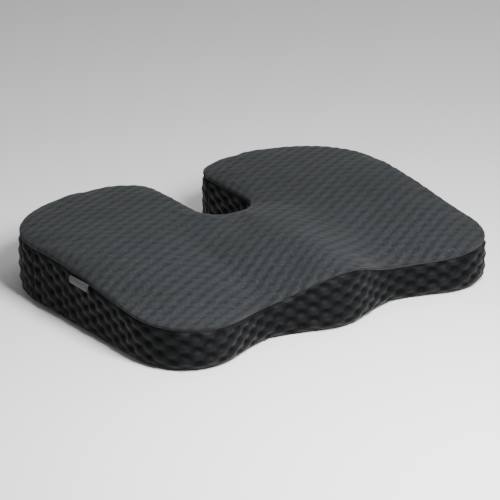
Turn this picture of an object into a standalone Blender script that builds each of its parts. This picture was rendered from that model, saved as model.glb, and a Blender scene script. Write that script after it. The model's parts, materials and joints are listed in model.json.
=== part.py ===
# Contoured tailbone seat cushion: foam core in a liner, zipped knit cover, non-slip base.
# Metres, +Z up. X runs across the seat, +Y to the rear where the tailbone notch opens.
# The origin is the middle of the base, on the face that lies on the seat.

import math

import bmesh
import bpy
from mathutils import Vector, geometry

# Plan
width = 0.462
depth = 0.344
centre_lobe_setback = 0.001
scallop_x = 0.080
scallop_depth = 0.021
front_corner_width = 0.070
front_corner_depth = 0.064
side_draw_in = 0.0085
rear_side_draw_in = 0.0004
rear_lobe_depth = 0.102
crown_x = 0.112
mouth_corner_depth = 0.040
notch_mouth_half_width = 0.0365
notch_end_half_width = 0.0350
notch_length = 0.148
notch_end_depth = 0.034
# How much longer a span's tangents get where it turns by a right angle, so that corners stay full
turn_fullness = 0.17

# Heights of the seat surface
rear_height = 0.072
ridge_height = 0.0665
channel_height = 0.0430
front_outer_height = 0.0490
channel_x = 0.088
outer_x = 0.190
contour_end_y = 0.045
dish_depth = 0.005
dish_x = 0.078
dish_y = -0.010
dish_width = 0.060
dish_length = 0.075
front_edge_drop = 0.0040
rear_edge_drop = 0.0080
drop_start_y = -0.150
drop_end_y = -0.020
roll_width = 0.026

# Layers, from the outside in
seat_gap = 0.0003
layer_gap = 0.0004
panel_thickness = 0.0020
band_thickness = 0.0025
liner_thickness = 0.0010
base_thickness = 0.0025
welt_radius = 0.0010
band_foot = 0.0008

# The band's rounded lower edge: height above the seat and how far it draws in there
foot_profile = [(band_foot, 0.0061), (0.0025, 0.0034), (0.0060, 0.0010), (0.0120, 0.0)]

# Zip in the right side
zip_height = 0.030
zip_end_margin = 0.006
coil_gap = 0.0012
coil_width = 0.0024
coil_depth = 0.0004
coil_thickness = 0.0012
tape_width = 0.0058
tape_depth = 0.0007
tape_thickness = 0.0006
stop_length = 0.0025
slider_length = 0.0110
slider_height = 0.0074
slider_plate = 0.0011
slider_inner_plate = 0.0006
slider_post_height = 0.0007
slider_post_length = 0.0040
bail_width = 0.0022
bail_post = 0.0011
bail_bar = 0.0009
pull_bar = 0.0010
pull_clearance = 0.0003
pull_length = 0.0180
pull_height = 0.0060
pull_arm = 0.0012
pull_window = 0.0036

# Blank side label
label_y = -0.018
label_length = 0.032
label_drop = 0.0070
label_thickness = 0.0009

# Fineness of the meshes
span_steps = [5, 5, 6, 6, 7, 6, 2, 4]
grid_step = 0.026
grid_clearance = 0.4        # of a grid step, between the grid and the ring round it
merge_distance = 1e-7
panel_rim_insets = [0.0, 0.0012, 0.0040]
shared_insets = [0.0080, 0.0160, roll_width]
welt_sides = 6


def smooth_step(value):
    value = min(max(value, 0.0), 1.0)
    return value * value * (3 - 2 * value)


def blend(low, high, share):
    return low + (high - low) * share


# Outline

front = -depth / 2
rear = depth / 2
side_front = Vector((width / 2 - side_draw_in, front + front_corner_depth))
side_rear = Vector((width / 2 - rear_side_draw_in, rear - rear_lobe_depth))
side_heading = math.degrees(math.atan2(side_rear.y - side_front.y, side_rear.x - side_front.x))
wall_top = Vector((notch_mouth_half_width, rear - mouth_corner_depth))
wall_end = Vector((notch_end_half_width, rear - notch_length + notch_end_depth))
wall_heading = math.degrees(math.atan2(wall_end.y - wall_top.y, wall_end.x - wall_top.x))

# Each knot is a point of the right half and the way the outline runs through it.
half_knots = [
    (Vector((0, front + centre_lobe_setback)), 0),
    (Vector((scallop_x, front + scallop_depth)), 0),
    (Vector((width / 2 - front_corner_width, front)), 0),
    (side_front, side_heading),
    (side_rear, side_heading),
    (Vector((crown_x, rear)), 180),
    (wall_top, wall_heading),
    (wall_end, wall_heading),
    (Vector((0, rear - notch_length)), 180),
]


def direction(degrees):
    angle = math.radians(degrees)
    return Vector((math.cos(angle), math.sin(angle)))


def span_points(start, end, steps):
    """Points and tangents of one span, without its end point."""
    (a, heading_a), (b, heading_b) = start, end
    turn = abs((heading_b - heading_a + 180) % 360 - 180)
    pull = (b - a).length * (1 + turn_fullness * (turn / 90) ** 2)
    tangent_a = direction(heading_a) * pull
    tangent_b = direction(heading_b) * pull
    found = []
    for step in range(steps):
        t = step / steps
        point = (
            a * (2 * t**3 - 3 * t**2 + 1)
            + tangent_a * (t**3 - 2 * t**2 + t)
            + b * (3 * t**2 - 2 * t**3)
            + tangent_b * (t**3 - t**2)
        )
        slope = (
            (a - b) * (6 * t**2 - 6 * t)
            + tangent_a * (3 * t**2 - 4 * t + 1)
            + tangent_b * (3 * t**2 - 2 * t)
        )
        found.append((point, slope.normalized()))
    return found


def whole_outline():
    """Anticlockwise points and outward normals, and the index of each knot of the right half."""
    half = []
    knot_index = []
    for start, end, steps in zip(half_knots, half_knots[1:], span_steps):
        knot_index.append(len(half))
        half += span_points(start, end, steps)
    knot_index.append(len(half))
    half.append((half_knots[-1][0], direction(180)))
    mirrored = [(Vector((-p.x, p.y)), Vector((t.x, -t.y))) for p, t in reversed(half[1:-1])]
    track = half + mirrored
    points = [p for p, _ in track]
    normals = [Vector((t.y, -t.x)) for _, t in track]
    return points, normals, knot_index


outline, normals, knot_index = whole_outline()
count = len(outline)
zip_start_index = knot_index[3]
zip_end_index = knot_index[4]
mouth_index = knot_index[6]


def inset(index, distance):
    return outline[index] - normals[index] * distance


# Heights


def open_height(x, y):
    """Height of the seat surface away from its edge."""
    across = abs(x)
    if across < channel_x:
        share = 0.5 + 0.5 * math.cos(math.pi * across / channel_x)
        front_height = blend(channel_height, ridge_height, share)
    else:
        share = smooth_step((across - channel_x) / (outer_x - channel_x))
        front_height = blend(channel_height, front_outer_height, share)
    bump = ((across - dish_x) / dish_width) ** 2 + ((y - dish_y) / dish_length) ** 2
    back_height = rear_height - dish_depth * math.exp(-bump)
    return blend(back_height, front_height, smooth_step((contour_end_y - y) / (contour_end_y - front)))


def edge_drop(y):
    return blend(front_edge_drop, rear_edge_drop, smooth_step((y - drop_start_y) / (drop_end_y - drop_start_y)))


def seam_height(point):
    return open_height(point.x, point.y) - edge_drop(point.y)


def surface_height(point, edge_distance):
    """Top of the top panel: it rises from its rim over the rolled edge to the open height."""
    rim = seam_height(point) + welt_radius + seat_gap + panel_thickness
    away = 1 - min(edge_distance / roll_width, 1.0)
    return blend(rim, open_height(point.x, point.y), math.sqrt(1 - away * away))


def foot_inset(height):
    """How far the side draws in at a height above the seat."""
    for (low, low_inset), (high, high_inset) in zip(foot_profile, foot_profile[1:]):
        if height <= high:
            return blend(low_inset, high_inset, (height - low) / (high - low))
    return 0.0


def edge_distance(point):
    nearest = 1.0
    for index in range(count):
        a = outline[index]
        b = outline[(index + 1) % count]
        along = min(max((point - a).dot(b - a) / (b - a).length_squared, 0.0), 1.0)
        nearest = min(nearest, (point - a - (b - a) * along).length)
    return nearest


def inner_net():
    """Points inside the innermost shared ring, and the triangles that join them to it."""
    ring = [inset(index, shared_insets[-1]) for index in range(count)]
    inside = []
    rows = int(depth / grid_step) + 2
    columns = int(width / 2 / grid_step) + 2
    for row in range(rows):
        y = front + row * grid_step * math.sqrt(3) / 2
        for column in range(-columns, columns + 1):
            x = (column + 0.5 * (row % 2)) * grid_step
            point = Vector((x, y))
            away = edge_distance(point)
            if away > shared_insets[-1] + grid_clearance * grid_step and inside_outline(point):
                inside.append(point)
    made = geometry.delaunay_2d_cdt(ring + inside, [], [list(range(count))], 1, merge_distance)
    source = [min(origin) if origin else -1 for origin in made[3]]
    faces = [[source[corner] for corner in face] for face in made[2]]
    return inside, faces


def inside_outline(point):
    crossings = 0
    for index in range(count):
        a = outline[index]
        b = outline[(index + 1) % count]
        if (a.y > point.y) != (b.y > point.y):
            x = a.x + (point.y - a.y) / (b.y - a.y) * (b.x - a.x)
            crossings += x > point.x
    return crossings % 2 == 1


net_points, net_faces = inner_net()


# Objects


def make_material(name, colour, roughness, metallic=0.0):
    material = bpy.data.materials.new(name)
    material.use_nodes = True
    shader = material.node_tree.nodes["Principled BSDF"]
    shader.inputs["Base Color"].default_value = (*colour, 1)
    shader.inputs["Roughness"].default_value = roughness
    shader.inputs["Metallic"].default_value = metallic
    return material


block_faces = [(0, 1, 3, 2), (4, 6, 7, 5), (0, 4, 5, 1), (2, 3, 7, 6), (0, 2, 6, 4), (1, 5, 7, 3)]


def add_block(bm, corners):
    """A block from its eight corners, listed by the low and high of each of three ways in turn."""
    verts = [bm.verts.new(corner) for corner in corners]
    for face in block_faces:
        bm.faces.new([verts[corner] for corner in face])


def finish_object(name, bm, material, origin=(0, 0, 0)):
    bmesh.ops.recalc_face_normals(bm, faces=bm.faces)
    bmesh.ops.translate(bm, vec=-Vector(origin), verts=bm.verts)
    mesh = bpy.data.meshes.new(name)
    bm.to_mesh(mesh)
    bm.free()
    obj = bpy.data.objects.new(name, mesh)
    obj.location = origin
    bpy.context.scene.collection.objects.link(obj)
    mesh.materials.append(material)
    return obj


def bridge(bm, ring_a, ring_b):
    for index in range(len(ring_a)):
        after = (index + 1) % len(ring_a)
        bm.faces.new((ring_a[index], ring_a[after], ring_b[after], ring_b[index]))


def contoured_ring(bm, distance, below):
    """A ring of the seat surface at an inset, lowered by the layers above it."""
    ring = []
    for index in range(count):
        point = inset(index, distance)
        ring.append(bm.verts.new((*point, surface_height(point, distance) - below)))
    return ring


def contoured_net(bm, ring, below):
    verts = ring + [
        bm.verts.new((*point, surface_height(point, edge_distance(point)) - below)) for point in net_points
    ]
    for face in net_faces:
        bm.faces.new([verts[corner] for corner in face])


def wall_ring(bm, depth_in, height):
    return [bm.verts.new((*inset(index, depth_in + foot_inset(height)), height)) for index in range(count)]


def join_rings(bm, rings):
    for ring_a, ring_b in zip(rings, rings[1:]):
        bridge(bm, ring_a, ring_b)


def make_top_panel(material):
    bm = bmesh.new()
    upper = [contoured_ring(bm, d, 0) for d in reversed(panel_rim_insets + shared_insets)]
    lower = [contoured_ring(bm, d, panel_thickness) for d in panel_rim_insets + shared_insets]
    join_rings(bm, upper + lower)
    contoured_net(bm, upper[0], 0)
    contoured_net(bm, lower[-1], panel_thickness)
    finish_object("top_panel", bm, material)


foot_heights = [height for height, _ in foot_profile]
liner_depth = band_thickness + seat_gap
liner_below = panel_thickness + layer_gap
liner_base_low = base_thickness + layer_gap
liner_base_high = liner_base_low + liner_thickness
foam_low = liner_base_high + layer_gap


def make_liner_top(material):
    bm = bmesh.new()
    inner_depth = liner_depth + liner_thickness
    inner_below = liner_below + liner_thickness
    heights = [foam_low] + [height for height in foot_heights if height > foam_low]
    outer = [contoured_ring(bm, d, liner_below) for d in reversed([liner_depth] + shared_insets)]
    outer += [wall_ring(bm, liner_depth, height) for height in reversed(heights)]
    inner = [wall_ring(bm, inner_depth, height) for height in heights]
    inner += [contoured_ring(bm, d, inner_below) for d in [inner_depth] + shared_insets]
    join_rings(bm, outer + inner)
    contoured_net(bm, outer[0], liner_below)
    contoured_net(bm, inner[-1], inner_below)
    finish_object("liner_top", bm, material)


def make_foam_core(material):
    bm = bmesh.new()
    foam_depth = liner_depth + liner_thickness + seat_gap
    foam_below = liner_below + liner_thickness + layer_gap
    heights = [foam_low] + [height for height in foot_heights if height > foam_low]
    rings = [contoured_ring(bm, d, foam_below) for d in reversed([foam_depth] + shared_insets)]
    rings += [wall_ring(bm, foam_depth, height) for height in reversed(heights)]
    join_rings(bm, rings)
    contoured_net(bm, rings[0], foam_below)
    bm.faces.new(rings[-1])
    finish_object("foam_core", bm, material)


def make_sheet(name, distance, low, high, material):
    bm = bmesh.new()
    rings = [[bm.verts.new((*inset(i, distance), z)) for i in range(count)] for z in (low, high)]
    join_rings(bm, rings)
    bm.faces.new(rings[0])
    bm.faces.new(rings[1])
    finish_object(name, bm, material)


def make_band(name, first, last, heights_at, material):
    """A strip of the side band from one outline index to another, with a gap at each end."""
    bm = bmesh.new()
    sections = []
    for step in range(last - first + 1):
        index = (first + step) % count
        along = Vector((-normals[index].y, normals[index].x))
        shift = {0: seat_gap / 2, last - first: -seat_gap / 2}.get(step, 0)
        point = outline[index] + along * shift
        section = []
        heights = heights_at(point)
        for side, levels in ((0, heights), (band_thickness, heights[::-1])):
            for height in levels:
                place = point - normals[index] * (side + foot_inset(height))
                section.append(bm.verts.new((*place, height)))
        sections.append(section)
    join_rings(bm, sections)
    bm.faces.new(sections[0])
    bm.faces.new(sections[-1])
    finish_object(name, bm, material)


def band_top(point):
    return seam_height(point) - welt_radius - seat_gap


def full_heights(point):
    return foot_heights + [band_top(point)]


slot_half = coil_gap / 2 + coil_width + seat_gap + tape_width + seat_gap


def lower_strip_heights(point):
    return foot_heights + [zip_height - slot_half]


def upper_strip_heights(point):
    return [zip_height + slot_half, band_top(point)]


def make_welt(material):
    bm = bmesh.new()
    rings = []
    for index in range(count):
        middle = inset(index, band_thickness / 2)
        height = seam_height(outline[index])
        ring = []
        for side in range(welt_sides):
            angle = 2 * math.pi * (side + 0.5) / welt_sides
            place = middle + normals[index] * welt_radius * math.cos(angle)
            ring.append(bm.verts.new((*place, height + welt_radius * math.sin(angle))))
        rings.append(ring)
    join_rings(bm, rings + rings[:1])
    finish_object("top_welt", bm, material)


# Zip

zip_origin = outline[zip_start_index]
zip_along = (side_rear - side_front).normalized()
zip_out = Vector((zip_along.y, -zip_along.x))
zip_length = (side_rear - side_front).length


def zip_point(along, out, up):
    """A point of the zip: distance along it, out of the band's face and above its centre line."""
    place = zip_origin + zip_along * along + zip_out * out
    return Vector((place.x, place.y, zip_height + up))


def zip_piece(name, along, out, up, material, origin=(0, 0, 0)):
    """A block between two distances each way, as (low, high) pairs."""
    bm = bmesh.new()
    add_block(bm, [zip_point(a, o, u) for a in along for o in out for u in up])
    return finish_object(name, bm, material, origin)


def combine(target, other, operation):
    """Joins or cuts one block with another, and removes the other."""
    modifier = target.modifiers.new(operation.lower(), "BOOLEAN")
    modifier.operation = operation
    modifier.object = other
    graph = bpy.context.evaluated_depsgraph_get()
    mesh = bpy.data.meshes.new_from_object(target.evaluated_get(graph))
    target.modifiers.clear()
    target.data = mesh
    bpy.data.objects.remove(other)


coil_start = zip_end_margin + stop_length + seat_gap
coil_end = zip_length - coil_start
slider_start = coil_start + seat_gap
slider_middle = slider_start + slider_length / 2
plate_face = -coil_depth + seat_gap + slider_plate
hinge_out = plate_face + pull_clearance + pull_bar / 2


def make_zip(tape, coil, metal):
    half = coil_gap / 2
    for name, sign in (("upper", 1), ("lower", -1)):
        coil_up = sorted((sign * half, sign * (half + coil_width)))
        tape_low = half + coil_width + seat_gap
        tape_up = sorted((sign * tape_low, sign * (tape_low + tape_width)))
        coil_out = (-coil_depth - coil_thickness, -coil_depth)
        tape_out = (-tape_depth - tape_thickness, -tape_depth)
        zip_piece("zip_coil_" + name, (coil_start, coil_end), coil_out, coil_up, coil)
        zip_piece("zip_tape_" + name, (seat_gap, zip_length - seat_gap), tape_out, tape_up, tape)
    stop_up = (-half - coil_width, half + coil_width)
    stop_out = (-coil_depth - coil_thickness, -coil_depth + seat_gap)
    ends = {"zip_top_stop": zip_end_margin, "zip_bottom_stop": zip_length - zip_end_margin - stop_length}
    for name, start in ends.items():
        zip_piece(name, (start, start + stop_length), stop_out, stop_up, metal)


def make_slider(material):
    """Outer plate with its bail, a post between the coils, and an inner plate behind them."""
    origin = zip_point(slider_middle, plate_face, 0)
    body = (slider_start, slider_start + slider_length)
    tall = (-slider_height / 2, slider_height / 2)
    coil_back = -coil_depth - coil_thickness - seat_gap
    slider = zip_piece("zip_slider", body, (plate_face - slider_plate, plate_face), tall, material, origin)
    post = (slider_middle - slider_post_length / 2, slider_middle + slider_post_length / 2)
    lap = slider_inner_plate / 2
    post_up = (-slider_post_height / 2, slider_post_height / 2)
    post_out = (coil_back - lap, plate_face - slider_plate / 2)
    inner_out = (coil_back - slider_inner_plate, coil_back)
    reach = pull_bar / 2 + pull_clearance
    bail = (slider_middle - reach - bail_post, slider_middle + reach + bail_post)
    bail_top = hinge_out + reach + bail_bar
    bail_up = (-bail_width / 2, bail_width / 2)
    combine(slider, zip_piece("post", post, post_out, post_up, material), "UNION")
    combine(slider, zip_piece("inner", body, inner_out, tall, material), "UNION")
    bail_out = (plate_face - slider_plate / 2, bail_top)
    combine(slider, zip_piece("bail", bail, bail_out, bail_up, material), "UNION")
    eye = (slider_middle - reach, slider_middle + reach)
    eye_out = (plate_face, hinge_out + reach)
    combine(slider, zip_piece("eye", eye, eye_out, (-bail_width, bail_width), material), "DIFFERENCE")


def make_pull(material):
    """A flat tab whose end bar turns in the slider's bail."""
    origin = zip_point(slider_middle, hinge_out, 0)
    low = slider_middle - pull_bar / 2
    tall = (-pull_height / 2, pull_height / 2)
    thick = (hinge_out - pull_bar / 2, hinge_out + pull_bar / 2)
    pull = zip_piece("zip_pull", (low, low + pull_length), thick, tall, material, origin)
    window = (low + pull_bar, low + pull_bar + pull_window)
    window_up = (-pull_height / 2 + pull_arm, pull_height / 2 - pull_arm)
    cutter_out = (thick[0] - pull_bar, thick[1] + pull_bar)
    combine(pull, zip_piece("window", window, cutter_out, window_up, material), "DIFFERENCE")


def make_label(material):
    """A folded ribbon that hangs from the left seam over the band."""
    share = (label_y - side_front.y) / (side_rear.y - side_front.y)
    middle = side_front.lerp(side_rear, share)
    bm = bmesh.new()
    top = band_top(middle)
    corners = []
    for along in (-label_length / 2, label_length / 2):
        for out in (seat_gap, seat_gap + label_thickness):
            for height in (top - label_drop, top):
                place = middle + zip_along * along + zip_out * out
                corners.append((-place.x, place.y, height))
    add_block(bm, corners)
    finish_object("side_label", bm, material)


# Assembly


def build():
    for obj in list(bpy.data.objects):
        bpy.data.objects.remove(obj)
    mesh_knit = make_material("charcoal_mesh_knit", (0.050, 0.056, 0.058), 0.85)
    bubble_knit = make_material("black_bubble_knit", (0.012, 0.013, 0.015), 0.7)
    foam = make_material("memory_foam", (0.62, 0.60, 0.52), 0.9)
    liner = make_material("liner_jersey", (0.55, 0.55, 0.54), 0.9)
    grip = make_material("grip_fabric", (0.018, 0.018, 0.020), 0.8)
    welt = make_material("seam_welt", (0.060, 0.062, 0.066), 0.6)
    tape = make_material("zip_tape", (0.014, 0.014, 0.016), 0.8)
    coil = make_material("zip_coil", (0.020, 0.020, 0.022), 0.35)
    metal = make_material("zip_metal", (0.08, 0.08, 0.085), 0.35, 1.0)
    ribbon = make_material("label_ribbon", (0.30, 0.30, 0.31), 0.6)

    make_foam_core(foam)
    make_liner_top(liner)
    make_sheet("liner_base", foot_inset(liner_base_low) + liner_depth, liner_base_low, liner_base_high, liner)
    base_inset = foot_inset(band_foot) + band_thickness + seat_gap
    make_sheet("base_panel", base_inset, 0.0, base_thickness, grip)
    make_top_panel(mesh_knit)
    make_welt(welt)

    left_side_rear = count - zip_end_index
    left_mouth = count - mouth_index
    make_band("front_band", left_side_rear - count, zip_start_index, full_heights, bubble_knit)
    make_band("zip_band_lower", zip_start_index, zip_end_index, lower_strip_heights, bubble_knit)
    make_band("zip_band_upper", zip_start_index, zip_end_index, upper_strip_heights, bubble_knit)
    make_band("rear_band_right", zip_end_index, mouth_index, full_heights, bubble_knit)
    make_band("notch_band", mouth_index, left_mouth, full_heights, bubble_knit)
    make_band("rear_band_left", left_mouth, left_side_rear, full_heights, bubble_knit)

    make_zip(tape, coil, metal)
    make_slider(metal)
    make_pull(metal)
    make_label(ribbon)


build()
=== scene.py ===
import json
import math

import bmesh
import bpy
import numpy as np
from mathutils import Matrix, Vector, geometry, kdtree, noise
from mathutils.bvhtree import BVHTree


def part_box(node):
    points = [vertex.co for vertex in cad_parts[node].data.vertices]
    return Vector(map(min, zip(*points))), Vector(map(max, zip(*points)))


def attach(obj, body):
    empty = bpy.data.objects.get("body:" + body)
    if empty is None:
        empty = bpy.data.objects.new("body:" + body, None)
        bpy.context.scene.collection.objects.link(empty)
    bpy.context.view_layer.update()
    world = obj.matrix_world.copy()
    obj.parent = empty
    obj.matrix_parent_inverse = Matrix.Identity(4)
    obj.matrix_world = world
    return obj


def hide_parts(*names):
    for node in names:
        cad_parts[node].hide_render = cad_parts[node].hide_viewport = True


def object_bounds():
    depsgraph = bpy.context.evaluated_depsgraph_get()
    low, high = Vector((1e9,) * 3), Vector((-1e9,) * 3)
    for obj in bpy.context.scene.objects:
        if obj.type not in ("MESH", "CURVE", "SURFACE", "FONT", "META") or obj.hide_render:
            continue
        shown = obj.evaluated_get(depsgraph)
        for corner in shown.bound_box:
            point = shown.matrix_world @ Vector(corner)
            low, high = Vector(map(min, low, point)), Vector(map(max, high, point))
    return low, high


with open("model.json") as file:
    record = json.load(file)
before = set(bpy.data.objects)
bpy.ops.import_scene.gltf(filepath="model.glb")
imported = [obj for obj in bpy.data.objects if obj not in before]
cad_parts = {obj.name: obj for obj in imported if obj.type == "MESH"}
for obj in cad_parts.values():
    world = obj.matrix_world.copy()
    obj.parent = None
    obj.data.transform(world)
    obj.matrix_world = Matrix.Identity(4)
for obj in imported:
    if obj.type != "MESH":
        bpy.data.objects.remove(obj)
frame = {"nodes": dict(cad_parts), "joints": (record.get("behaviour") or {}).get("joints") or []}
cadLow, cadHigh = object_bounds()
print("frame loaded", len(frame["nodes"]), "nodes")

# plan and heights of the cushion

plan = {
    "front": cadLow.y,
    "rear": cadHigh.y,
    "halfWidth": cadHigh.x,
    "centreSetback": 0.001,
    "scallopX": 0.080,
    "scallopDepth": 0.021,
    "cornerWidth": 0.0696,
    "cornerDepth": 0.064,
    "sideDrawIn": 0.0081,
    "rearLobeDepth": 0.102,
    "crownX": 0.112,
    "mouthDepth": 0.040,
    "mouthHalfWidth": 0.0365,
    "notchHalfWidth": 0.0350,
    "notchLength": 0.148,
    "notchEndDepth": 0.034,
}

contour = {
    "rear": cadHigh.z,
    "ridge": 0.0665,
    "channel": 0.0430,
    "frontOuter": 0.0490,
    "channelX": 0.088,
    "outerX": 0.190,
    "endY": 0.045,
    "dishDepth": 0.005,
    "dishX": 0.078,
    "dishY": -0.010,
    "dishWidth": 0.060,
    "dishLength": 0.075,
    "frontDrop": 0.0040,
    "rearDrop": 0.0080,
    "dropStartY": -0.150,
    "dropEndY": -0.020,
    "rollWidth": 0.026,
    "rimRise": 0.0033,        # from the seam up to the top panel's rim
    "footHeight": 0.0120,     # where the band starts to round in to the base
    "footReach": 0.0095,
}


def direction(degrees):
    angle = math.radians(degrees)
    return np.array([math.cos(angle), math.sin(angle)])


def headingOf(start, end):
    return math.degrees(math.atan2(end[1] - start[1], end[0] - start[0]))


sideFront = np.array([plan["halfWidth"] - plan["sideDrawIn"], plan["front"] + plan["cornerDepth"]])
sideRear = np.array([plan["halfWidth"], plan["rear"] - plan["rearLobeDepth"]])
wallTop = np.array([plan["mouthHalfWidth"], plan["rear"] - plan["mouthDepth"]])
wallEnd = np.array([plan["notchHalfWidth"], plan["rear"] - plan["notchLength"] + plan["notchEndDepth"]])

# right half of the outline: a point and the way the edge runs through it
halfKnots = [
    (np.array([0, plan["front"] + plan["centreSetback"]]), 0),
    (np.array([plan["scallopX"], plan["front"] + plan["scallopDepth"]]), 0),
    (np.array([plan["halfWidth"] - plan["cornerWidth"], plan["front"]]), 0),
    (sideFront, headingOf(sideFront, sideRear)),
    (sideRear, headingOf(sideFront, sideRear)),
    (np.array([plan["crownX"], plan["rear"]]), 180),
    (wallTop, headingOf(wallTop, wallEnd)),
    (wallEnd, headingOf(wallTop, wallEnd)),
    (np.array([0, plan["rear"] - plan["notchLength"]]), 180),
]


def denseHalf(steps=160):
    # Points of the right half, and the running index of each knot
    # The more the edge turns between two knots, the longer their pull on it
    points, knots = [], [0]
    for (a, headingA), (b, headingB) in zip(halfKnots, halfKnots[1:]):
        turn = abs((headingB - headingA + 180) % 360 - 180)
        pull = np.linalg.norm(b - a) * (1 + 0.17 * (turn / 90) ** 2)
        t = np.linspace(0, 1, steps, endpoint=False)[:, None]
        points.append(
            a * (2 * t**3 - 3 * t**2 + 1)
            + direction(headingA) * pull * (t**3 - 2 * t**2 + t)
            + b * (3 * t**2 - 2 * t**3)
            + direction(headingB) * pull * (t**3 - t**2)
        )
        knots.append(knots[-1] + steps)
    points.append(halfKnots[-1][0][None])
    return np.concatenate(points), knots


def wholeOutline():
    # Closed anticlockwise outline with its running length, and the length at each knot of the right half
    half, knots = denseHalf()
    left = half[-2:0:-1] * [-1, 1]
    track = np.concatenate([half, left, half[:1]])
    length = np.concatenate([[0], np.cumsum(np.linalg.norm(np.diff(track, axis=0), axis=1))])
    return track, length, [length[k] for k in knots]


track, trackLength, knotLength = wholeOutline()
perimeter = trackLength[-1]


def outlineAt(s):
    # Points and outward normals of the outline at running lengths
    s = np.mod(s, perimeter)
    x = np.interp(s, trackLength, track[:, 0])
    y = np.interp(s, trackLength, track[:, 1])
    reach = 0.0009
    ahead, behind = np.mod(s + reach, perimeter), np.mod(s - reach, perimeter)
    dx = np.interp(ahead, trackLength, track[:, 0]) - np.interp(behind, trackLength, track[:, 0])
    dy = np.interp(ahead, trackLength, track[:, 1]) - np.interp(behind, trackLength, track[:, 1])
    size = np.hypot(dx, dy)
    return np.stack([x, y], 1), np.stack([dy / size, -dx / size], 1)


def smoothStep(value):
    value = np.clip(value, 0, 1)
    return value * value * (3 - 2 * value)


def mix(low, high, share):
    return low + (high - low) * share


def openHeight(x, y):
    c = contour
    across = np.abs(x)
    ridge = mix(c["channel"], c["ridge"], 0.5 + 0.5 * np.cos(math.pi * np.minimum(across / c["channelX"], 1)))
    outward = (across - c["channelX"]) / (c["outerX"] - c["channelX"])
    outer = mix(c["channel"], c["frontOuter"], smoothStep(outward))
    frontHeight = np.where(across < c["channelX"], ridge, outer)
    bump = ((across - c["dishX"]) / c["dishWidth"]) ** 2 + ((y - c["dishY"]) / c["dishLength"]) ** 2
    backHeight = c["rear"] - c["dishDepth"] * np.exp(-bump)
    return mix(backHeight, frontHeight, smoothStep((c["endY"] - y) / (c["endY"] - plan["front"])))


def seamHeight(x, y):
    c = contour
    drop = smoothStep((y - c["dropStartY"]) / (c["dropEndY"] - c["dropStartY"]))
    return openHeight(x, y) - mix(c["frontDrop"], c["rearDrop"], drop)


def surfaceHeight(x, y, edge):
    away = 1 - np.minimum(edge / contour["rollWidth"], 1)
    rim = seamHeight(x, y) + contour["rimRise"]
    return mix(rim, openHeight(x, y), np.sqrt(1 - away * away))


def footInset(z):
    away = np.clip(1 - z / contour["footHeight"], 0, 1)
    return contour["footReach"] * (1 - np.sqrt(1 - away * away))


# mesh helpers

edgeTree = kdtree.KDTree(len(track))
for index, point in enumerate(track):
    edgeTree.insert((point[0], point[1], 0), index)
edgeTree.balance()


def inside(points):
    # Which plan points lie inside the outline
    poly = outlineAt(np.arange(0, perimeter, 0.004))[0]
    crossings = np.zeros(len(points), int)
    for a, b in zip(poly, np.roll(poly, -1, 0)):
        rows = (a[1] > points[:, 1]) != (b[1] > points[:, 1])
        if rows.any():
            x = a[0] + (points[rows, 1] - a[1]) / (b[1] - a[1]) * (b[0] - a[0])
            crossings[rows] += x > points[rows, 0]
    return crossings % 2 == 1


rowShare = 0.866          # from one row of a net to the next, in spacings


def planNet(ring, edge, spacing):
    # Points inside a ring that lies that far from the edge, with triangles over ring then points
    xs = np.arange(-plan["halfWidth"], plan["halfWidth"], spacing)
    ys = np.arange(plan["front"], plan["rear"], spacing * rowShare)
    gridX, gridY = np.meshgrid(xs, ys)
    gridX[1::2] += spacing / 2
    points = np.stack([gridX.ravel(), gridY.ravel()], 1)
    points = points[inside(points)]
    away = np.array([edgeTree.find((x, y, 0))[2] for x, y in points])
    keep = away > edge + 0.55 * spacing
    points, away = points[keep], away[keep]
    everything = [Vector(p) for p in np.concatenate([ring, points])]
    made = geometry.delaunay_2d_cdt(everything, [], [list(range(len(ring)))], 1, 1e-9)
    source = [min(origin) for origin in made[3]]
    faces = [[source[corner] for corner in face] for face in made[2]]
    return points, away, faces


def makeObject(name, points, faces, smooth=True):
    mesh = bpy.data.meshes.new(name)
    mesh.from_pydata([tuple(p) for p in points], [], faces)
    bm = bmesh.new()
    bm.from_mesh(mesh)
    bmesh.ops.recalc_face_normals(bm, faces=bm.faces)
    bm.to_mesh(mesh)
    bm.free()
    if smooth:
        mesh.shade_smooth()
    obj = bpy.data.objects.new(name, mesh)
    bpy.context.scene.collection.objects.link(obj)
    return obj


def setUv(obj, perVertex):
    # Cloth coordinates in metres, one pair for each vertex
    layer = obj.data.uv_layers.new(name="cloth")
    corner = np.zeros(len(obj.data.loops), np.int32)
    obj.data.loops.foreach_get("vertex_index", corner)
    layer.data.foreach_set("uv", np.asarray(perVertex, np.float32)[corner].ravel())


def placePiece(obj, body, material, nodes=()):
    obj.data.materials.append(material)
    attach(obj, body)
    if nodes:
        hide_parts(*nodes)


def ringFaces(count, rows, wrap=True):
    # Quads between rows of points, each row as long as the next
    faces = []
    for row in range(rows - 1):
        for i in range(count if wrap else count - 1):
            j = (i + 1) % count
            a, b = row * count, (row + 1) * count
            faces.append((a + i, a + j, b + j, b + i))
    return faces


def netOver(faces, count, ringStart, netStart):
    # A net's faces, with its ring's points counted from one number and its own from another
    return [[c + ringStart if c < count else c - count + netStart for c in face] for face in faces]


def shiftFaces(faces, start):
    return [[start + c for c in face] for face in faces]


def atHeight(place, z):
    # Plan points with a height, one for all or one each
    return np.column_stack([place, np.full(len(place), z)])


def surfaceRing(outline, normals, edge, below=0.0):
    # The line on the seat surface that runs that far in from the edge
    place = outline - normals * edge
    return np.column_stack([place, surfaceHeight(place[:, 0], place[:, 1], edge) - below])


def circle(sides):
    angles = [2 * math.pi * side / sides for side in range(sides)]
    return [(math.cos(angle), math.sin(angle)) for angle in angles]


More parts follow.
